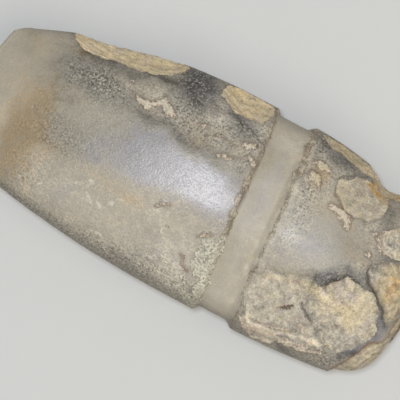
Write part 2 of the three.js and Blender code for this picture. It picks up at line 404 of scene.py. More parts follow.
# Each scar's drop at the rim, how far it rises again inwards within its reach, how far the old skin
# round it is rounded down, its tone, how lumpy it is, how light it is in stops, and the painted shade
# and grime in stops outside its rim, with its width, and inside
FACE_SCARS = {
    "pebble-shaped scar": dict(
        outline=PEBBLE_SCAR, rim=0.6, rise=0.15, reach=4, shoulder=0.1, tone=0.26, lumps=0.12, light=-0.08,
        grime_and_shade=0.7, grime_and_shade_width=0.8, inner_grime_and_shade=0.1),
    "weathered scar": dict(
        outline=WEATHERED_SCAR, rim=0.25, rise=0, reach=3, shoulder=0.1, tone=0.3, lumps=0.4, light=-0.05,
        grime_and_shade=0.2, grime_and_shade_width=0.8, inner_grime_and_shade=0.2),
    "battered scar": dict(
        outline=BATTERED_SCAR, rim=0.5, rise=-0.2, reach=6, shoulder=0.15, tone=0.1, lumps=0.12, light=-0.12,
        grime_and_shade=0.3, grime_and_shade_width=1.0, inner_grime_and_shade=0.1),
    "end scar": dict(
        outline=END_SCAR, rim=0.9, rise=0.9, reach=6, shoulder=0.6, tone=0.34, lumps=0.18, light=-0.05,
        grime_and_shade=1.2, grime_and_shade_width=1.5, inner_grime_and_shade=1.3),
    "great scar": dict(
        outline=GREAT_SCAR, rim=0.9, rise=1.1, reach=8, shoulder=0.6, tone=0.22, lumps=0.35, light=0.05,
        grime_and_shade=1.1, grime_and_shade_width=1.5, inner_grime_and_shade=0.6),
}
RIM_ROUNDING = 0.35
SHOULDER_WIDTH = 1.2
INNER_GRIME_AND_SHADE_WIDTH = 1.0

# The edge of the upper layer over the step at the poll's right corner, how far the step drops, and the
# bands of its layers beyond the edge, as (distance, width, stops). The light bands furthest out are
# partly a painted highlight along the outer edge
STEP_EDGE = [
    (67.5, -40), (70.3, -33.5), (73.4, -28.6), (75.4, -24), (76.9, -19.8), (80, -17.4), (81.2, -14),
    (81.6, -8), (84, 2),
]
STEP_DROP = 1.5
STEP_ROUNDING = 0.3
STEP_BANDS = [
    (0.2, 0.5, -0.9), (1.3, 0.4, -0.2), (2.3, 0.7, 0.3), (3.5, 0.5, -0.35), (4.7, 0.6, 0.6),
    (5.6, 0.3, -0.5),
    (6.4, 0.5, 0.5),
]
# The break ends below at this height, at this place across the head. It rises to the left, and wanders
STEP_FOOT_Z = -5
STEP_FOOT_Y = -20
STEP_FOOT_RISE = 0.3
STEP_FOOT_WANDER = 5


# ---- Crust, seams, stains --------------------------------------------------------------------------

# Cream crust, as runs of (x, y, half width)
CRUST = [
    [(-35.6, 18.9, 0.4), (-33.4, 18.1, 0.9), (-31.4, 17.6, 1.0), (-29, 17.2, 1.3), (-27.8, 16.7, 1.7),
     (-25.6, 18.1, 1.1),
     (-22.7, 20.4, 1.6), (-21, 19.3, 1.8), (-19.6, 18.4, 1.4), (-18, 18, 0.6)],
    [(-23, 20.8, 1.3), (-23.6, 22.8, 0.7)],
    [(-36.7, 22.3, 0.6), (-35.5, 21.5, 0.3)],
    [(-9.2, 19.5, 0.6), (-7.7, 20, 0.9), (-6.9, 20.6, 0.6)],
    [(6.7, 20.8, 1.0), (8.8, 20.8, 1.4), (10.3, 21.6, 1.3)],
    [(0.9, 12.8, 0.6), (2.5, 13.3, 1.2), (4.5, 14.3, 0.9), (6.9, 14.8, 0.5), (8.4, 15.3, 0.4)],
    [(2.2, 18.6, 0.4), (4, 18.1, 0.6)],
    [(-1, 19.8, 0.3), (0.2, 19.3, 0.5)],
    [(10.5, 17.3, 0.5), (11.7, 16.8, 1.1), (13.2, 15.9, 0.8)],
    [(31.0, 26.4, 0.6), (33, 26.4, 1.6), (35.4, 26.6, 1.6), (37.4, 26.2, 0.9)],
    [(31.4, 22.6, 0.8), (33.2, 21.9, 1.8), (35.6, 20.4, 1.5), (36.8, 18.8, 0.6)],
    [(42.8, 15.6, 0.9), (45.7, 15.2, 1.3), (48.1, 14.5, 1.6), (50.2, 14.0, 1.8), (51, 12.2, 1.4),
     (52, 11.4, 0.8)],
    [(55, 16.2, 0.5), (55.9, 15.3, 0.6)],
    [(59.6, 14.3, 0.4), (61.7, 14.5, 0.8), (63.7, 16, 0.8), (65.2, 17, 0.8), (66.3, 18.6, 0.6)],
    [(61.7, 13.5, 0.7), (63.2, 12.7, 0.9), (64.4, 11.2, 0.8), (66.4, 9.2, 0.7)],
    [(60.8, 6.6, 0.6), (62, 7, 1.1), (62.6, 6.4, 0.6)],
    [(-10.2, -12, 0.4), (-8.4, -10.2, 0.9), (-6, -9.8, 0.7)],
    [(7.4, -14, 0.4), (9.6, -12.8, 0.9), (11.6, -12.2, 0.7)],
    [(5.4, -22.8, 0.6), (6.6, -23.6, 0.6)],
    [(7.4, -25.2, 0.5), (9.8, -26.2, 0.8)],
    [(32.6, -32, 0.5), (35, -34.2, 0.9), (39, -35, 1.0), (43, -34.4, 0.9), (46, -33.6, 0.7)],
    [(48, -33.4, 0.7), (52, -33.2, 1.1), (56, -32.6, 1.1), (60, -31.8, 0.9), (64, -30.6, 0.6)],
    [(39, -31.2, 0.5), (45, -30.6, 0.7), (50, -29.2, 0.5)],
    [(51, -24.6, 0.4), (53.6, -25.8, 0.7), (56.6, -28, 0.6)],
]
# Bare light marks, where the skin is bruised or scratched, as runs
NICKS = [
    [(-33.6, -14.1, 0.7), (-32.7, -14.4, 0.5)],
    [(-37.6, -17.1, 0.6), (-35.8, -16.4, 0.3), (-34.8, -15.8, 0.1)],
    [(-33.2, -18.2, 0.3), (-31.7, -19.5, 0.3), (-30.2, -20.6, 0.4)],
    [(-28, -20, 0.5), (-26.4, -20.5, 0.5)],
    [(-24.8, -18.2, 0.3), (-23.5, -17.9, 0.5)],
    [(-23.2, -16.3, 0.1), (-19.8, -15.4, 0.2)],
    [(-25.8, -29.3, 0.3), (-23.2, -29.2, 0.5), (-20.6, -29.4, 0.2)],
    [(-8, -11.7, 0.3), (-8.7, -12.9, 0.4), (-11.4, -14.4, 0.1)],
    [(-4.5, -17.5, 0.3), (-3.6, -18.8, 0.4)],
    [(3.4, -17.9, 0.0), (4.9, -17.1, 0.2)],
    [(5.5, -27.9, 0.4), (6.3, -27.2, 0.5)],
    [(4.9, -34.4, 0.1), (7.4, -33.6, 0.3), (9.2, -32.5, 0.4)],
    [(-22, -32.6, 0.1), (-17, -34.2, 0.2)],
    [(-4.8, -28, 0.1), (-2.4, -27, 0.3)],
    [(-56.6, -24.5, 0.3), (-55.6, -24.7, 0.2)],
    [(-57, 11.5, 0.0), (-54, 13, 0.1)],
    [(60.4, 2.4, 0.3)],
    [(23.4, -8.2, 0.4)],
]

# Dark seams: painted shade where one layer of stone overhangs another, and in cracks and holes
SHADED_SEAMS = [
    [(-57, 24.8, 0.0), (-54.4, 25.0, 0.3), (-44.1, 26.7, 0.3), (-34.2, 28.1, 0.4), (-25.6, 28.2, 0.4),
     (-22.5, 29.2, 0.2)],
    [(-31.4, 31.4, 0.1), (-27.4, 32.4, 0.5), (-23.4, 33.4, 0.6), (-19.5, 34.8, 0.3)],
    [(-60, 26.6, -0.1), (-50, 28.4, 0.0), (-40, 30.2, -0.1), (-34, 31.2, 0.0)],
    [(-2.9, 27.8, 0.2), (-1.4, 28.3, 0.35), (0.8, 28.4, 0.45), (2.5, 27.8, 0.3), (3.3, 26.8, 0.35),
     (5.9, 26.6, 0.45),
     (8.6, 26.1, 0.5), (10, 25, 0.4), (11.3, 23.6, 0.3)],
    [(-9.5, 28.6, 0.0), (-6.5, 28.2, 0.3)],
    [(-6.9, -10.2, 0.1), (-5.8, -10.0, 0.2)],
    [(-3.2, -16.1, 0.4), (-2.3, -15.9, 0.2)],
    [(-63.4, 0.2, 0.0), (-63, -1, 0.3), (-63, -2.4, 0.0)],
    [(30.2, 21.8, 0.1), (32.1, 23.2, 0.3), (34.5, 23.8, 0.3), (37, 25.1, 0.0)],
    [(44, -23.4, 0.3), (45.4, -22.7, 0.8), (46.8, -21.3, 0.6), (47.6, -20.7, 0.2)],
    [(49.8, -18, 0.3), (51, -19.8, 0.7), (52.9, -21.5, 0.8), (56.1, -24.2, 0.4)],
    [(50.3, -9.2, 0.5), (49.8, -11.7, 0.2), (49.4, -14.6, 0.0)],
    [(64.6, 5.2, 0.1), (64.7, 1.5, 0.4), (66.4, -1.8, 0.7), (70.8, -4.4, 0.4), (74.8, -7.2, 0.5),
     (79.0, -12.4, 0.3)],
    [(50.4, -9.8, 0.1), (54.2, -8.6, 0.3), (57, -5.2, 0.3), (60, -2.6, 0.1)],
    [(40.6, 25.2, 0.0), (43.8, 27.6, 0.3), (47.4, 30.0, 0.4), (51, 30.6, 0.2)],
    [(58.9, 28.4, 0.3), (59.2, 27.4, 0.2)],
    [(-18, -32.4, 0.0), (-12, -33.4, 0.1)],
    [(36, -31.6, 0.0), (39, -31.8, 0.4), (43, -30.6, 0.2), (46, -29.6, 0.0)],
    [(48, -30.6, 0.1), (53, -29.8, 0.2), (58, -30.6, 0.1)],
]

# Rust-brown lines and specks, and where the specks are only scattered
RUST = [
    [(28.2, 30, 0.2), (28.4, 27, 0.4), (28.6, 25.6, 0.3)],
    [(41, -13.9, 0.2), (44.5, -12.9, 0.5), (45.5, -11, 0.2)],
    [(4.8, -23.2, 0.3), (6.6, -23, 0.4), (7.2, -24.2, 0.3)],
    [(8, -25.6, 0.3), (10.4, -26.8, 0.4)],
    [(8.6, -12.6, 0.3), (11.9, -12, 0.4)],
    [(43.2, -23.8, 0.4), (46.8, -21.4, 0.9)],
    [(42.2, 20.4, 0.2), (45, 18, 0.6), (47, 16.4, 0.3)],
    [(54, 26.2, -0.2), (58, 25.4, 0.2), (62, 24.8, 0.0)],
]
SPECKS = [
    [(33, -13.2, 1.5), (38, -13.8, 2), (46, -12.6, 2.4)],
    [(31, -17, 1), (33, -16.6, 1)],
    [(5, -23.6, 1.5), (9.5, -26.6, 2)],
    [(8, -12.8, 1), (13, -12.2, 1)],
    [(28.2, 34, 0.8), (28.6, 20, 0.8)],
    [(12.6, 26, 1.2), (14.2, 8, 1.0)],
    [(-36, 22, 2.5), (-27, 22.5, 2)],
    [(-12, 18, 4), (-3, 19, 3)],
]
SPECK_LEVEL = -0.45  # so low that only the grain's peaks show a speck
OUT_OF_REACH = -3  # the depth inside a run of a point on another side of the stone

# Crumbly, chalky stone along the groove's bank, as runs
CHALK = [
    [(12.2, -13, 1.6), (12.8, -17.6, 3.2), (13.0, -21.4, 3.4), (13.2, -25, 2.4)],
    [(16.0, -12, 1.2), (16.2, -19.5, 1.5), (16.4, -25.4, 1.9), (16.6, -30, 1.9), (16.8, -36, 1.5)],
    [(9.8, -28, 1.2), (10.2, -31, 1.0)],
    [(11, -33.5, 1.2), (14, -35, 1.3)],
]

# Soft washes as (x, y, half length, half width, turn, strength). Strengths are in stops of light here.
# Most stand for patina and stains; the ones noted below are painted shade, painted light and a painted
# highlight
SHADE = [
    (-61, 5, 5, 22, 6, -0.15), (-59, -26, 6, 8, 0, -0.2), (-62, 13, 8, 8, 0, -0.2),
    (-76, 17, 6, 6, 0, -0.1),
    # (-28, 4) is painted shade where the satin facet's sheen is weaker
    (-48, 17.5, 13, 6, 2, -1.25), (-49, -5, 10, 7, 0, -0.5), (-28, 4, 14, 10, 0, -0.5),
    (-66, 19, 5, 4, 0, 0.2),
    (-17, 33.5, 5.5, 5, -20, -2.2), (-72, -8, 5, 9, 0, 0.25), (-77, 23, 5, 2, 20, -0.3),
    (-26, -12, 18, 3.5, -3, 0.15), (50, -13, 4, 3, 0, -0.2),
    (-50, -20, 12, 6, 0, 0.1), (14, 4, 1.2, 10, 2, -0.3),
    # (2, 1.5) is a painted highlight on the satin facet, and (73, -27.5) painted shade in the crevice below
    # the great scar
    (2, 1.5, 12, 4, 0, 0.2), (0.5, 23.2, 3, 2, 0, -0.5), (73, -27.5, 3, 1.6, 55, -0.8),
    (-40, 26.0, 20, 2.6, 8.5, -1.0), (-16, 27, 6, 4, -30, -0.9),
    (-22, 31, 4, 2.5, -10, -0.8), (-26, 23, 4, 3, 0, 0.35), (-4, 12.5, 9, 2.5, -4, -0.6),
    (-14, 14.0, 9, 1.9, -10, -0.8), (-26, 14.5, 6, 1.6, 0, -0.9), (5.5, 24.6, 6.5, 2.4, -22, -1.2),
    (-12, 18, 27, 7, 0, -0.5), (-4.2, 24.6, 4, 1.6, 0, 0.6), (-45, 22, 5, 2, 10, 0.1),
    (-36, 21, 4, 3, 0, 0.4),
    (-12, 28, 7, 2.5, -8, -0.6), (3, 27, 7, 1.8, -12, -0.4), (23, -5, 2.6, 26, 3, 0.12),
    (4, 29.4, 7, 1.2, 0, 0.2),
    # (53, -6.8) is painted shade in the crevice above the great scar
    (40, 31, 8, 3.0, -28, -1.2), (64, 22.5, 3.5, 4.5, 0, -1.1), (53, -6.8, 6.5, 2.2, 32, -2.0),
    # (61, -3) is painted shade in the crevice above the great scar
    (31, 35.5, 2.5, 1.6, 0, -1.0), (61, -3.0, 5.0, 1.8, 25, -1.4), (72, 9.0, 4, 1.4, 8, -0.8),
    # (72.5, -26.5) is painted shade in the crevice below the great scar
    (52.5, -35.0, 3.5, 1.2, 0, -1.4), (65, -31.6, 8, 1.8, 8, -0.6), (72.5, -26.5, 3.5, 1.6, 55, -1.6),
    (-2, -29, 13, 4, 0, -0.2), (30.5, 32, 1.8, 7, 8, -0.4), (55, 3, 10, 6, 0, -0.15),
    (43, 21.5, 3, 1.2, -52, -0.5),
    # (27.8, 8) and (29.4, -20) are painted light on the groove's bank towards the poll, which faces away from
    # the raking lamp
    (27.8, 8, 2.4, 24, 2.5, 0.35), (29.4, -20, 1.5, 10, -4, 0.3), (22, 28, 6, 9, 0, 0.1),
    (3, -23, 5, 8, 0, 0.25),
    # (73, -6) is painted shade in the crevice between the great scar and the end scar
    (73, -6, 5, 1.4, -42, -1.3), (-22, -33.5, 30, 1.6, -2, -0.3), (44, 9, 20, 9, 0, -0.2),
    (56, 9, 9, 5, 0, -0.25),
    (54, 1, 8, 4, 0, -0.25), (41, 31.5, 7, 3, -25, -0.3), (2, 9.5, 10, 2, -2, -0.35),
    (-52, -9, 9, 3, 0, -0.2), (70, -22, 5, 3, 30, -0.3),
    (14.4, -34, 3, 2.5, 0, -0.6), (11.5, 14, 2.5, 5, 0, -0.5),
    (-26, 26.5, 3.5, 1.5, 0, -1.0), (-26, 30.4, 3, 1, 0, 0.5), (-14, 36, 5, 2, 0, -1.0),
    (-7, 29.4, 3, 1.2, 0, 0.5),
    (29.5, 31, 1.2, 3, 0, -0.6), (31, 17, 2, 4, 0, -0.3), (9, -26, 4, 7, 0, 0.25), (-8, -13, 5, 4, 0, 0.2),
    # (76.5, -20) is painted shade in the crevice right of the great scar
    (-54, 7, 6, 3, 0, -0.35), (-57, -12, 4, 3, 0, -0.25), (76.5, -20, 1.5, 6, -15, -0.9),
    (46, -36.4, 9, 1.6, 0, 0.6),
    (-8, -35, 10, 1.5, 0, -0.3),
]
# Strengths from -1, lilac, to 1, ochre
WARMTH = [
    (-72, 20, 6, 5, 0, 0.3), (-58, 2, 7, 9, 0, 0.3), (-63, -6, 7, 14, 8, 0.4), (-70, 0, 18, 30, 0, 0.22),
    (-61, -16, 7, 13, 0, 0.4),
    # (-20, 3) and (4, 2), and (-14, -2) further down, tint the satin facet lilac, partly a painted tint of
    # its bluish highlight
    (-20, 3, 15, 9, 0, -1.0), (4, 2, 14, 9, 0, -1.1), (44, 0, 14, 8, 0, -0.55), (-38, -4, 8, 6, 0, -0.4),
    (-16, 33, 6, 6, -20, -0.9), (-48, 19, 14, 5, 0, -0.3), (-28, -12, 17, 3.6, -3, 0.55),
    (6, 25, 8, 4, 0, -0.4),
    (40, 31, 8, 4, -28, -0.4), (54, -7, 8, 3, 28, -0.5), (-56, 23, 6, 2.2, 0, 0.8), (-4, 14, 8, 3, 0, 0.5),
    (-12, 18, 24, 5, 0, 0.3), (76.5, -14, 2.4, 8, -10, -0.9),
    (-54, -20, 8, 8, 0, 0.15), (56, 7, 14, 9, 0, 0.5), (72, -26, 4, 3, 50, -0.7), (68, -23, 7, 4, 20, -0.6),
    (36, 12, 6, 8, 0, 0.15), (17.2, 0, 2, 28, 3, 0.5), (60, 2, 6, 4, 0, 0.4), (-14, -2, 9, 5, 0, -0.6),
    (27, 0, 1.6, 34, 3, 0.4), (34, 23.5, 4, 5, 0, 1.0),
    (47, 15, 5, 3, 0, 0.4), (64, -1, 5, 3, 0, -0.2), (22, 14, 3, 10, 0, -0.4), (45, -11, 5, 2, 0, 0.5),
    (-40, -22, 9, 5, 0, -0.3), (0, -24, 8, 5, 0, -0.3),
]
# Ochre-brown stain, in patches where the strength is over about a half
STAIN = [
    (-65, -8, 7, 9, 6, 0.55), (-64, -21, 6, 8, 0, 0.7), (-58, 3, 6, 6, 0, 0.25), (-74, 20, 4, 3, 0, 0.3),
    (-70, -2, 4, 5, 0, 0.3), (-63, 14, 6, 6, 0, 0.2), (46, 18, 3, 1.2, -40, 0.5),
]
# Strengths from 0, matt, to 1, polished
POLISH = [
    (-30, 1, 32, 10.5, 0, 0.9), (2, 1, 16, 10, 0, 0.7), (48, 2, 18, 9, 0, 0.45),
    (34.5, 0.7, 3, 2.5, 0, 0.6),
    (-70, 0, 16, 22, 0, 0.4), (-20, -20, 40, 11, 0, 0.4),
]
# Strengths from 0, smooth, to 1, pitted and flecked
WEATHER = [
    (-56, 17, 4, 4, 0, 0.6), (-45, 17, 7, 5, 0, 1.0), (-12, 20, 24, 7.5, 0, 0.8), (-18, 33, 14, 6, 0, 0.6),
    (42, 28, 14, 10, 0, 0.5), (34, 10, 4, 14, 4, 0.8), (62, 16, 8, 9, 0, 0.4), (-50, -6, 13, 5, 4, 0.5),
    (-54, -23, 7, 8, 0, 0.4), (-10, -33, 45, 3.5, 0, 0.6), (66, -31.5, 10, 3, 0, 0.8),
    (0, -28, 12, 5, 0, 0.35),
    (55, -6, 8, 3.5, 28, 0.8), (66, 2, 5, 6, 0, 0.6), (11.5, 24, 3, 14, 0, 0.7), (3, 1, 14, 6, 0, 0.15),
    (31, 34, 3, 5, 0, 0.8), (5.5, 25, 5, 2, -20, 0.5), (12, -10, 2, 14, 3, 0.3), (30, -14, 2, 5, 0, 0.5),
]
# Added to the tones of scars, from 0, grey cream, to 1, orange
SCAR_TONE = [
    (65, -13.5, 5, 4.5, 0, 0.35), (75, 0, 4, 6, 0, 0.55), (55.5, 28, 4.5, 1.4, -5, 0.9),
    (-7, 34, 2.5, 3, 0, -0.3),
    (9, 33, 3, 4, 0, -0.25), (-28, 31, 5, 2, 0, -0.2), (41, -31, 8, 3, 0, 0.12), (56, -13, 4, 5, 0, 0.2),
    (68, -23, 8, 4, 20, -0.25), (50, -14, 4, 3, 0, 0.2), (38, 35, 5, 3, 0, 0.1), (67, 2, 3, 4, 0, -0.4),
    (63, 28, 3, 3, 0, 0.3),
]
# Added to how light scars are, in stops
SCAR_LIGHT = [
    (67, -24, 8, 5, 20, -0.35), (64, -15, 5, 4, 0, 0.15), (67, 2, 2.6, 4, 0, -0.5),
    (40, -20, 5, 4, 0, 0.05),
    (43, -34.5, 10, 3, 0, 0.6), (60, -30, 7, 1.8, 0, 0.35), (45, 35, 5, 2.5, 0, -0.3),
    # (49.5, -11.5) is painted shade in the crevice between the battered scar and the great scar
    (49.5, -11.5, 3, 2, 0, -0.6),
    (56, -10, 4, 3, 30, -0.2), (-56, 25, 5, 2, 8, 0.3), (83, -14, 2, 6, 0, -0.3), (43, -36, 8, 1.5, 0, 0.4),
]
# Added to how lumpy scars are, from 0, smooth, to about 1, craggy
LUMPS = [
    (42, -33, 10, 3.5, 0, 1.0), (40, -13, 9, 2.2, 0, 0.6), (58, -29, 9, 3, 0, 0.9), (52, -12, 3, 5, 0, 0.5),
    (66, 14, 4, 5, 0, 0.4), (62, -18, 8, 8, 0, 0.15), (46, -22, 3, 2.5, 0, 0.5), (34, -24, 2, 8, 0, 0.4),
]


def score_face(points, on_top, scars, fields):
    """How deep the scars on the upper face go, and each one's mark on the fields of the finish. Past
    its rim a scar drops at once and then rises (or sinks) over its reach, as the way in times two less
    the way. Outside it the old skin is rounded down and darkened with painted shade and grime, both
    fading by exponentials, and the same painted shade and grime darken the scar just inside its rim."""
    depth = np.zeros(points.shape[:-1])
    for scar in scars:
        inside = np.where(on_top > 0.5, beside(points, scar["outline"]), NOWHERE)
        within, outside = np.clip(inside, 0, None), np.clip(-inside, 0, None)
        way = np.clip(within / scar["reach"], 0, 1)
        floor = scar["shoulder"] + scar["rim"] * (1 - np.exp(-within / RIM_ROUNDING))
        floor -= scar["rise"] * way * (2 - way)
        old_skin = (depth + scar["shoulder"] * np.exp(-outside / SHOULDER_WIDTH)) * (fields["fracture"] < 0)
        depth = np.where(inside > 0, floor, np.maximum(depth, old_skin))
        # Painted shade and grime on the old skin outside the rim
        fields["shade"] -= scar["grime_and_shade"] * np.exp(-outside / scar["grime_and_shade_width"]) * (inside < 0)
        for name in ("tone", "lumps", "light"):
            fields[name] = np.where(inside > np.maximum(fields["fracture"], -1), scar[name], fields[name])
        # Painted shade and grime just inside the rim, under its drop
        fields["light"] -= scar["inner_grime_and_shade"] * np.exp(-within / INNER_GRIME_AND_SHADE_WIDTH) * (inside > 0)
        fields["ripple"] = np.where(inside > 0, inside, fields["ripple"])
        fields["fracture"] = np.maximum(fields["fracture"], inside)
    return depth


# How the edges of scars and lines wander, and how stains do, as warps of (size, amount, seed)
RAGGED = [(5, 0.8, 1), (1.7, 0.5, 5)]
DRIFTING = [(9, 3.2, 21), (3, 1.6, 25)]
TURNOVER = 2  # the upper face turns into the lower one within this far of the middle plane
# The rims, where the skin turns over at the sides, darkened with painted shade and grime: where they
# start and where they are full, as shares of the half width, how strong the left one is against 1 for
# the right one, and their darkness in stops
RIM = (0.86, 0.99)
LEFT_RIM = 0.35
RIM_STOPS = 0.9
BEVEL_CALM = (-70, -58)  # the bevel's calm finish fades out between these stations
EDGE_FADE = 6  # the relief fades out over this length towards the cutting edge
PECK_INSET = 0.7  # how far inside the groove's mouth its pecked lines run
GREAT_SCAR_MIDDLE = (65, -14.5)
# The lower face's plain finish, and how far its shade and its warmth drift
LOWER = dict(shade=-0.25, polish=0.45, weather=0.5, stain=0.3, shade_drift=0.5, warmth_drift=0.7)


def rims(grid):
    """1 where the skin turns over at the right side, less at the left one, and 0 on the faces: the share of
    the painted shade and grime at the sides.
    """
    x, y = grid[..., 0], grid[..., 1]
    side = np.abs(y) / np.maximum(half_width(x, y > 0), 1)
    return smoothstep(side, *RIM) * np.where(y < 0, 1, LEFT_RIM)


def break_step(grid, ragged, depth, fields):
    """The depth with the step at the poll's right corner broken off, and how far each point is past the
    step's edge. The drop is reached by an exponential. Each band is a bell curve past the edge."""
    above_foot = ragged[..., 2] - STEP_FOOT_Z + STEP_FOOT_WANDER * relief(grid, 9, seed=75)
    above_foot -= STEP_FOOT_RISE * (grid[..., 1] - STEP_FOOT_Y)
    past = np.minimum(-beside(ragged, STEP_EDGE, closed=False), above_foot)
    bands = sum(stops * np.exp(-(((past - place) / width) ** 2)) for place, width, stops in STEP_BANDS)
    bands = bands * (0.75 + 0.9 * relief(grid, 7, seed=73))
    marks = {"tone": 0.3 + 0.4 * np.exp(-past / 0.6), "lumps": 0.1, "light": -0.15 + bands}
    for name, value in marks.items():
        fields[name] = np.where(past > 0, value, fields[name])
    fields["fracture"] = np.maximum(fields["fracture"], past)
    drop = STEP_DROP * (1 - np.exp(-np.clip(past, 0, None) / STEP_ROUNDING))
    return np.where(past > 0, drop, depth), past


def mark_banks(grid, ragged, on_top, fields):
    """Marks the pecked lines and the chalky stone along the groove's banks and the calm of its floor,
    and gives how far each point is outside the groove."""
    y = grid[..., 1]
    offset = groove_offset(ragged[..., 0], ragged[..., 1]) + 0.6 * relief(grid, 3.2, seed=69, octaves=3)
    outside = np.where(offset < 0, -offset - BIT_BANK[1], offset - POLL_BANK[1])
    wide = np.where(offset < 0, 1.3 - 0.3 * smoothstep(y, 0, 10), 1.0 + 0.6 * smoothstep(y, 12, 22))
    wide = wide * (1 + relief(grid, 3, seed=67))
    peck = 1 - smoothstep(np.abs(outside + PECK_INSET), 0.3 * wide, wide)
    peck = peck * np.where(fields["fracture"] > 0, 0.3, 1)
    fields["peck"] = peck * np.where(offset < 0, 1, 0.5 * smoothstep(y, 8, 18) + 0.5)
    wander = 1.6 * relief(grid, 3, seed=65, octaves=3)
    fields["chalk"] = smoothstep(runs(ragged, CHALK) + wander, -1.2, 1.2) * on_top
    fields["calm"] = groove_share(offset)
    return outside


def mark_runs(ragged, drifting, on_top, past, fields):
    """Marks how deep each point is in the crust, nicks, seams of painted shade and rust, with a rusty line at
    the step.
    """
    for name, paths, least in (("crust", CRUST, 0.5), ("nick", NICKS, 0.3), ("shaded_seam", SHADED_SEAMS, 0.3)):
        fields[name] = np.where(on_top > least, runs(ragged, paths), OUT_OF_REACH)
    rust = np.maximum(runs(ragged, RUST), np.minimum(runs(drifting, SPECKS), SPECK_LEVEL))
    fields["rust"] = np.where(on_top > 0.3, np.maximum(rust, 0.7 - np.abs(past - 0.2)), OUT_OF_REACH)


def streaks(grid, on_top, past, ripple):
    """The grain of broken stone, from -1 to 1: along the head on the edge flakes, round their outlines
    in the scars of the face, out from the middle of the great scar, and in layers past the step."""
    x, y, z = np.moveaxis(grid, -1, 0)
    lengthwise = relief(grid * np.array([0.045, 0.9, 0.9]), 1, seed=31)
    contours = relief(np.stack([ripple * 0.8, y * 0.06, z * 0.06], axis=-1), 1, seed=35)
    dx, dy = x - GREAT_SCAR_MIDDLE[0], y - GREAT_SCAR_MIDDLE[1]
    radius, angle = np.hypot(dx, dy), np.arctan2(dy, dx)
    spokes = np.stack([np.cos(angle) * 7, np.sin(angle) * 7, radius / 6], axis=-1)
    radial = relief(spokes, 1, seed=37)
    near = (1 - smoothstep(radius, 12, 17)) * on_top
    streak = np.where(ripple > 0, contours, lengthwise)
    streak = streak * (1 - near) + radial * near * (1 - np.exp(-((radius / 6) ** 2)))
    layers = relief(np.stack([past * 1.1, z * 0.1, y * 0.03], axis=-1), 1, seed=41)
    return np.where(past > 0, layers, streak)


def raise_surface(grid, ragged, depth, on_scar, fields):
    """How far the surface stands out from the cut blank: broad and fine unevenness less the depth of
    the scars, then their streaks and lumps, pitted skin, pecked and chalky banks, crust and seams."""
    whole, lumps = 1 - on_scar, fields["lumps"]
    crag = ridged(ragged * np.array([0.75, 1.1, 1]), 2.6, seed=55, octaves=3) - 0.55
    cavity = relief(ragged, 1.6, seed=57)
    uneven = relief(grid, 2.4, seed=59)
    height = 0.2 * relief(grid, 17, seed=51) + 0.05 * relief(grid, 4, seed=53) - depth
    height += on_scar * (0.09 * fields["streak"] + 0.12 * uneven + lumps * (0.7 * crag + 0.3 * cavity))
    height += whole * (0.010 + 0.10 * fields["weather"]) * cavity
    height -= fields["peck"] * 0.55 * np.clip(-relief(ragged, 2.2, seed=71), -0.3, 1)
    height += fields["chalk"] * (0.1 + 0.4 * cavity)
    height += whole * smoothstep(fields["crust"], -0.6, 0.8) * (0.45 + 0.4 * cavity)
    height -= 0.35 * smoothstep(fields["shaded_seam"], -0.4, 0.3)
    # The cavity also darkens hollows and lightens crests in the finish's colours, as painted shade and light
    fields["cavity"] = 0.6 * cavity + 0.9 * crag * lumps
    return height


def build_stone():
    """The stone's grid of points and the fields that its finish reads, in millimetres."""
    grid = skin(stations()[:, None], turns()[None, :])
    x, outward = grid[..., 0], outward_of(grid)
    on_top = smoothstep(grid[..., 2], -TURNOVER, TURNOVER)
    hidden, rim = 1 - on_top, rims(grid)
    ragged, drifting = warped(grid, RAGGED), warped(grid, DRIFTING)

    cut, fields = knock_off_edges(grid, ragged)
    fracture = fields["fracture"]
    # Painted shade and grime on the old skin just outside the edge flakes' scars
    grime_and_shade = FLAKE_GRIME_AND_SHADE * np.exp(np.minimum(fracture, 0) / FLAKE_GRIME_AND_SHADE_WIDTH) * (fracture < 0)
    lower_shade = LOWER["shade"] + LOWER["shade_drift"] * relief(grid, 16, seed=61)
    fields["shade"] = washes(drifting, SHADE) * on_top - RIM_STOPS * rim - grime_and_shade + hidden * lower_shade
    depth = score_face(ragged, on_top, FACE_SCARS.values(), fields)
    depth, past = break_step(grid, ragged, depth, fields)

    on_scar = smoothstep(fields["fracture"], -0.1, 0.4)
    fields["tone"] = fields["tone"] + washes(drifting, SCAR_TONE) * on_top
    fields["light"] = fields["light"] + washes(drifting, SCAR_LIGHT) * on_top
    fields["lumps"] = (fields["lumps"] + washes(drifting, LUMPS) * on_top * (past <= 0)) * on_scar
    fields["streak"] = streaks(grid, on_top, past, fields.pop("ripple"))

    clear = smoothstep(mark_banks(grid, ragged, on_top, fields), -0.5, 1.5)
    mark_runs(ragged, drifting, on_top, past, fields)
    polish = washes(drifting, POLISH) * on_top + LOWER["polish"] * hidden
    fields["polish"] = polish * clear * (1 - fields["peck"]) * (1 - fields["chalk"])
    weather = washes(drifting, WEATHER) * on_top * clear + LOWER["weather"] * hidden
    fields["weather"] = np.clip(weather, 0, 1) + 0.5 * rim
    fields["stain"] = washes(drifting, STAIN) * on_top + LOWER["stain"] * hidden
    fields["calm"] += (1 - smoothstep(x, *BEVEL_CALM)) * on_top * (1 - fields["stain"])
    lower_warmth = LOWER["warmth_drift"] * hidden * relief(grid, 20, seed=63)
    fields["warmth"] = washes(drifting, WARMTH) * on_top + lower_warmth

    height = raise_surface(grid, ragged, depth, on_scar, fields) * smoothstep(x, BIT_X, BIT_X + EDGE_FADE)
    grid = cut + outward * height[..., None]
    grid[..., 2] = np.maximum(grid[..., 2], -REST_DISTANCE)
    return grid, fields


# ---- Making the mesh -------------------------------------------------------------------------------


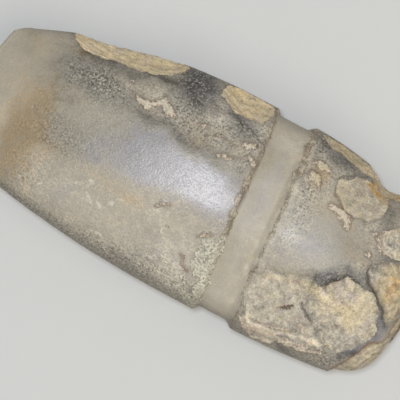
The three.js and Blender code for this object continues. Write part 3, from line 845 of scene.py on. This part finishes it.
def grid_mesh(name, grid, fields):
    """A closed mesh over a grid that is ringed in its second direction, with each field as a value on
    its points. Points that meet, along the cutting edge and at the poll, are made one."""
    rows, columns = grid.shape[:2]
    place = (grid + np.array([0, 0, REST_DISTANCE])) * MM
    at = np.arange(rows * columns).reshape(rows, columns)
    next_to = np.roll(at, -1, axis=1)
    quads = np.stack([at[:-1], next_to[:-1], next_to[1:], at[1:]], axis=-1).reshape(-1, 4)
    mesh = bpy.data.meshes.new(name)
    mesh.from_pydata(place.reshape(-1, 3), [], quads.tolist())
    for key, values in fields.items():
        layer = mesh.attributes.new(key, "FLOAT", "POINT")
        layer.data.foreach_set("value", np.asarray(values, np.float32).ravel())
    merge_points(mesh)
    mesh.shade_smooth()
    return mesh


def merge_points(mesh):
    """Joins the points that lie on each other, which turns the flat quads there into triangles."""
    work = bmesh.new()
    work.from_mesh(mesh)
    bmesh.ops.remove_doubles(work, verts=work.verts, dist=1e-6)
    bmesh.ops.recalc_face_normals(work, faces=work.faces)
    work.to_mesh(mesh)
    work.free()


# ---- Finishes --------------------------------------------------------------------------------------


class Wire:
    """A socket in a material's tree. Arithmetic on it adds Math nodes."""

    def __init__(self, tree, socket):
        self.tree, self.socket = tree, socket

    def __add__(self, other):
        return self.tree.maths("ADD", self, other)

    def __sub__(self, other):
        return self.tree.maths("SUBTRACT", self, other)

    def __rsub__(self, other):
        return self.tree.maths("SUBTRACT", other, self)

    def __mul__(self, other):
        return self.tree.maths("MULTIPLY", self, other)

    def __abs__(self):
        return self.tree.maths("ABSOLUTE", self)

    def __rpow__(self, other):
        return self.tree.maths("POWER", other, self)

    __radd__, __rmul__ = __add__, __mul__


class Tree:
    """One material's nodes."""

    def __init__(self, name):
        self.material = bpy.data.materials.new(name)
        self.material.use_nodes = True
        self.nodes, self.links = self.material.node_tree.nodes, self.material.node_tree.links
        self.nodes.clear()
        self.place = self.wire(self.node("ShaderNodeTexCoord"), "Object")

    def node(self, kind, settings=None, values=None):
        """A node of a type, with its settings and then the values or wires of its sockets."""
        made = self.nodes.new(kind)
        for key, value in (settings or {}).items():
            setattr(made, key, value)
        for key, value in (values or {}).items():
            if isinstance(value, Wire):
                self.links.new(value.socket, made.inputs[key])
            else:
                made.inputs[key].default_value = value
        return made

    def wire(self, made, output=0):
        return Wire(self, made.outputs[output])

    def maths(self, operation, *values):
        return self.wire(self.node("ShaderNodeMath", {"operation": operation}, dict(enumerate(values))))

    def field(self, name):
        return self.wire(self.node("ShaderNodeAttribute", {"attribute_name": name}), "Fac")

    def ramp(self, value, low, high):
        """0 below low and 1 above high, by a smoothstep, or the other way round if high is the less."""
        values = {"Value": value, "From Min": low, "From Max": high}
        settings = {"interpolation_type": "SMOOTHSTEP"}
        return self.wire(self.node("ShaderNodeMapRange", settings, values), "Result")

    def noise(self, size, detail=2, roughness=0.5, stretch=(1, 1, 1), turn=0.0):
        """Noise of a size in millimetres, from 0 to 1 about a half, stretched along axes turned about Z
        by an angle in degrees."""
        settings, values = {"vector_type": "TEXTURE"}, {"Vector": self.place, "Scale": stretch}
        values["Rotation"] = (0, 0, math.radians(turn))
        place = self.wire(self.node("ShaderNodeMapping", settings, values))
        values = {"Vector": place, "Scale": 1 / (size * MM), "Detail": detail, "Roughness": roughness}
        return self.wire(self.node("ShaderNodeTexNoise", {}, values), "Fac")

    def mix(self, share, a, b, blend="MIX"):
        """Colour a turning into colour b as share goes from 0 to 1."""
        settings = {"data_type": "RGBA", "blend_type": blend}
        return self.wire(self.node("ShaderNodeMix", settings, {0: share, 6: a, 7: b}), 2)

    def scaled(self, colour, factor):
        """A colour made lighter or darker by a factor."""
        values = {0: colour if isinstance(colour, Wire) else colour[:3], "Scale": factor}
        return self.wire(self.node("ShaderNodeVectorMath", {"operation": "SCALE"}, values))

    def finish(self, colour, roughness, height, ior=1.5):
        """The shader: one Principled BSDF, with height in millimetres as its bump."""
        bump = self.wire(self.node("ShaderNodeBump", {}, {"Strength": 1, "Distance": MM, "Height": height}))
        values = {"Base Color": colour, "Roughness": roughness, "Normal": bump, "IOR": ior}
        shader = self.wire(self.node("ShaderNodeBsdfPrincipled", {}, values))
        self.node("ShaderNodeOutputMaterial", {}, {"Surface": shader})
        return self.material


# Colours by their 0 to 255 display values
PALETTE = {
    "skin": (177, 167, 149), "warm skin": (172, 150, 118), "lilac skin": (172, 165, 163),
    "stained skin": (156, 134, 102), "pit": (76, 70, 62), "fleck": (200, 192, 176),
    "pecked stone": (124, 106, 84), "pecked crest": (200, 186, 162), "chalk": (192, 186, 165),
    "chalk pit": (112, 102, 84), "grey cream": (182, 172, 155), "sand": (196, 178, 143),
    "orange": (190, 152, 98), "pinkish grey": (184, 166, 156), "dirt": (116, 100, 80),
    "pale crest and highlight": (220, 208, 182), "crust shadow": (96, 86, 74), "thin crust": (184, 162, 142),
    "thick crust": (208, 196, 172), "ochre crust": (202, 180, 136), "nick": (214, 205, 184),
    "rust": (136, 96, 66), "shaded_seam": (76, 68, 58), "floor": (214, 212, 208), "floor cloud": (208, 206, 202),
}


def paint(name):
    """A colour of the palette as linear light."""
    linear = [((c / 255 + 0.055) / 1.055) ** 2.4 if c > 10 else c / 255 / 12.92 for c in PALETTE[name]]
    return (*linear, 1)


STONE_IOR = 1.62


def stone_noises(t):
    """The noises that the stone's colours share. Dust, crisp, blotch and cloud are about zero."""
    fine, grain, mottle = t.noise(0.42, 1), t.noise(0.8, 3, 0.6), t.noise(2.8, 4, 0.6)
    fleck = t.ramp(t.noise(0.8, 2, 0.6, turn=37), 0.52, 0.62)
    return SimpleNamespace(
        fine=fine, grain=grain, mottle=mottle, fleck=fleck, dust=fine - 0.5, blotch=mottle - 0.5,
        crisp=t.ramp(grain, 0.38, 0.62) - 0.5, cloud=t.noise(12, 4, 0.6) - 0.5)


def skin_colour(t, n, weather):
    """The ground skin: satin grey, warm or lilac by place, with the ochre stain, and with dark pits and
    pale flecks where it is weathered. The groove's floor and the bevel are calmer than the rest."""
    lively = 1 - t.field("calm") * 0.6
    scratches = t.ramp(t.noise(0.45, 1, 0.5, stretch=(12, 1, 1), turn=52), 0.54, 0.70)
    warmth = t.field("warmth") + lively * (n.blotch + n.cloud * 1.3)
    colour = t.mix(t.ramp(warmth, 0, 1), paint("skin"), paint("warm skin"))
    colour = t.mix(t.ramp(warmth, 0, -1), colour, paint("lilac skin"))
    stain = t.ramp(t.field("stain") + n.blotch * 1.2 + n.crisp * 0.15, 0.15, 0.85)
    colour = t.mix(stain * 0.7, colour, paint("stained skin"))
    stops = t.field("shade") * (0.6 + t.ramp(n.mottle, 0.3, 0.7) * 0.8) + n.cloud * 0.8
    stops = stops + n.blotch * (lively * 0.7 + weather * 0.9) + scratches * lively * 0.16
    stops = stops + n.dust * (lively * 0.8 + weather * 1.2) + n.crisp * (lively * 0.28 + weather * 0.9)
    colour = t.scaled(colour, 2 ** stops)
    pit = t.ramp(n.grain, 0.45, 0.34) * t.ramp(weather, 0.1, 0.9)
    colour = t.mix(pit * 0.75, colour, paint("pit"))
    return t.mix(n.fleck * t.ramp(weather, 0.2, 1.0) * 0.75, colour, paint("fleck"))


def with_banks(t, n, colour, cavity):
    """The colour with the pecked lines and chalky stone of the groove's banks, and their share."""
    pecked = t.ramp(t.field("peck") + n.crisp * 0.7, 0.25, 0.65)
    crest = t.ramp(n.mottle + n.fleck * 0.25, 0.46, 0.66)
    colour = t.mix(pecked * 0.7, colour, t.mix(crest, paint("pecked stone"), paint("pecked crest")))
    chalk = t.ramp(t.field("chalk") + n.crisp * 0.5 + n.blotch * 0.8, 0.3, 0.55)
    stops = t.field("shade") * 0.4 + cavity * 0.6 + n.crisp * 0.7 + n.dust * 1.6
    chalk_colour = t.scaled(paint("chalk"), 2 ** stops)
    chalk_colour = t.mix(t.ramp(n.grain, 0.44, 0.36) * 0.6, chalk_colour, paint("chalk pit"))
    return t.mix(chalk * 0.85, colour, chalk_colour), t.maths("MAXIMUM", pecked, chalk)


def scar_colour(t, n, cavity):
    """Broken stone: grey cream, sand or orange by place, with dirt and painted shade in the hollows and pale
    crests that are partly a painted highlight.
    """
    lumps, streak = t.field("lumps"), t.field("streak")
    tone = t.field("tone") + n.blotch * 0.7 + n.cloud * (0.3 + lumps * 0.5) + streak * lumps * 0.3
    colour = t.mix(t.ramp(tone, 0.0, 0.5), paint("grey cream"), paint("sand"))
    colour = t.mix(t.ramp(tone, 0.5, 0.95), colour, paint("orange"))
    colour = t.mix(t.ramp(t.noise(4, 3, 0.6, turn=71), 0.52, 0.66) * 0.5, colour, paint("pinkish grey"))
    # cavity darkens the hollows and lightens the crests: painted shade and light
    stops = t.field("light") + streak * (0.32 + lumps * 0.7) + cavity * 0.7
    stops = stops + n.blotch * (0.4 + lumps * 0.9)
    stops = stops + n.crisp * (0.24 + lumps * 0.3) + n.dust * (0.8 + lumps * 0.8)
    colour = t.scaled(colour, 2 ** stops)
    dirt = t.ramp(cavity + n.crisp * 0.6 + n.blotch, -0.2, -0.8)
    colour = t.mix(dirt * 0.5, colour, paint("dirt"))
    pale = t.ramp(cavity + n.crisp * 0.8 + n.blotch, 0.15, 0.7)
    return t.mix(pale * 0.45, colour, paint("pale crest and highlight"))


def with_crust(t, n, colour, cavity):
    """The colour with cream crust, a little shadow round it and bare nicks, and the crust's share."""
    shadow = t.ramp(t.field("crust") + n.crisp * 0.7, -1.0, -0.1)
    colour = t.mix(shadow * 0.2, colour, paint("crust shadow"))
    depth = t.field("crust") + n.crisp * 0.8 + n.blotch * 2.4
    crust_colour = t.mix(t.ramp(depth, 0.2, 1.2), paint("thin crust"), paint("thick crust"))
    crust_colour = t.mix(t.ramp(t.field("warmth"), 0.4, 1.0) * 0.5, crust_colour, paint("ochre crust"))
    crust_colour = t.scaled(crust_colour, 2 ** (n.crisp * 0.3 + n.dust * 0.8 + cavity * 0.3))
    crust = t.ramp(depth, -0.2, 0.5)
    colour = t.mix(crust * 0.9, colour, crust_colour)
    nick = t.ramp(t.field("nick") + n.crisp * 0.5, -0.3, 0.25)
    return t.mix(nick * 0.8, colour, paint("nick")), crust


def stone_finish():
    """Ground and polished stone: satin grey facets, dark speckled patina, ochre stain, scars in cream
    and orange, cream crust, dark seams of painted shade and rust-brown specks. Its washes and cavities
    also paint shade, light and highlights into the colour."""
    t = Tree("polished stone")
    n = stone_noises(t)
    cavity = t.field("cavity")
    weather = t.field("weather") + n.blotch * 0.9
    colour, bank = with_banks(t, n, skin_colour(t, n, weather), cavity)
    fracture = t.ramp(t.field("fracture") + n.crisp * 0.25, -0.05, 0.15)
    colour = t.mix(fracture, colour, scar_colour(t, n, cavity))
    colour, crust = with_crust(t, n, colour, cavity)
    rust = t.ramp(t.field("rust") + n.crisp * 0.9, -0.15, 0.4)
    colour = t.mix(rust * 0.65, colour, paint("rust"))
    # Seams darkened with painted shade
    shaded_seam = t.ramp(t.field("shaded_seam") + n.crisp * 0.6 + n.blotch * 0.8, -0.2, 0.4)
    colour = t.mix(shaded_seam * 0.75, colour, paint("shaded_seam"))

    polish = t.ramp(t.field("polish") + n.blotch * 0.5, 0.0, 0.8)
    broken = t.maths("MAXIMUM", t.maths("MAXIMUM", fracture, crust), bank)
    roughness = t.maths("MINIMUM", 0.62 - polish * 0.27 + broken * 0.15, 0.9)
    wrinkles = abs(t.noise(1.2, 1, turn=20) - 0.5)
    height = n.grain * (0.09 + weather * 0.14 + broken * 0.14) + n.fine * (0.02 + broken * 0.04)
    return t.finish(colour, roughness, height - wrinkles * 0.05 + broken * n.mottle * 0.2, STONE_IOR)


def floor_finish():
    """A plain pale floor with a faint unevenness."""
    t = Tree("pale floor")
    colour = t.mix(t.noise(40, 2) * 0.4, paint("floor"), paint("floor cloud"))
    return t.finish(colour, t.noise(60, 2) * 0.1 + 0.8, t.noise(2, 2) * 0.01)


# ---- The scene -------------------------------------------------------------------------------------


VIEW_TURN = math.radians(27.5)  # the head lies aslant in the frame, cutting edge up and to the left
VIEW_CENTRE = (2.7 * MM, -3.05 * MM)
VIEW_HEIGHT = 0.80
VIEW_WIDTH = 0.140  # how much of the middle plane the frame takes in
SENSOR_WIDTH = 36
FLOOR_REACH = 6.0
WORLD_COLOUR = (1.0, 0.97, 0.93, 1)
WORLD_STRENGTH = 0.30
# Round lamps that look at the stone: place, size, watts and colour
LAMPS = {
    "overhead lamp": ((-0.05, 0.02, 1.1), 0.13, 6.5, (0.83, 0.91, 1.0)),
    "raking lamp": ((0.42, -0.18, 1.0), 0.9, 3.3, (1.0, 0.94, 0.84)),
}


def put(name, data):
    """A new object in the scene."""
    made = bpy.data.objects.new(name, data)
    bpy.context.collection.objects.link(made)
    return made


def add_stone():
    mesh = grid_mesh("axe_head_stone", *build_stone())
    mesh.materials.append(stone_finish())
    piece = put("axe_head_stone", mesh)
    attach(piece, "root")
    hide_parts("axe_head")


def add_floor():
    far = FLOOR_REACH
    mesh = bpy.data.meshes.new("floor")
    mesh.from_pydata([(-far, -far, 0), (far, -far, 0), (far, far, 0), (-far, far, 0)], [], [(0, 1, 2, 3)])
    mesh.materials.append(floor_finish())
    put("floor", mesh)


def add_camera():
    camera = bpy.data.cameras.new("camera")
    camera.sensor_width = SENSOR_WIDTH
    camera.lens = SENSOR_WIDTH * (VIEW_HEIGHT - REST_DISTANCE * MM) / VIEW_WIDTH
    thing = put("camera", camera)
    thing.location = (*VIEW_CENTRE, VIEW_HEIGHT)
    thing.rotation_euler = (0, 0, VIEW_TURN)
    bpy.context.scene.camera = thing


def add_light():
    world = bpy.data.worlds.new("studio")
    world.use_nodes = True
    world.node_tree.nodes["Background"].inputs["Color"].default_value = WORLD_COLOUR
    world.node_tree.nodes["Background"].inputs["Strength"].default_value = WORLD_STRENGTH
    bpy.context.scene.world = world
    for name, (place, size, watts, colour) in LAMPS.items():
        lamp = bpy.data.lights.new(name, "AREA")
        lamp.shape, lamp.size, lamp.energy, lamp.color = "DISK", size, watts, colour
        thing = put(name, lamp)
        thing.location = place
        ahead = Vector((0, 0, REST_DISTANCE * MM)) - Vector(place)
        thing.rotation_euler = ahead.to_track_quat("-Z", "Y").to_euler()


add_camera()
add_stone()
add_floor()
add_light()
bpy.context.scene.view_settings.view_transform = "Standard"
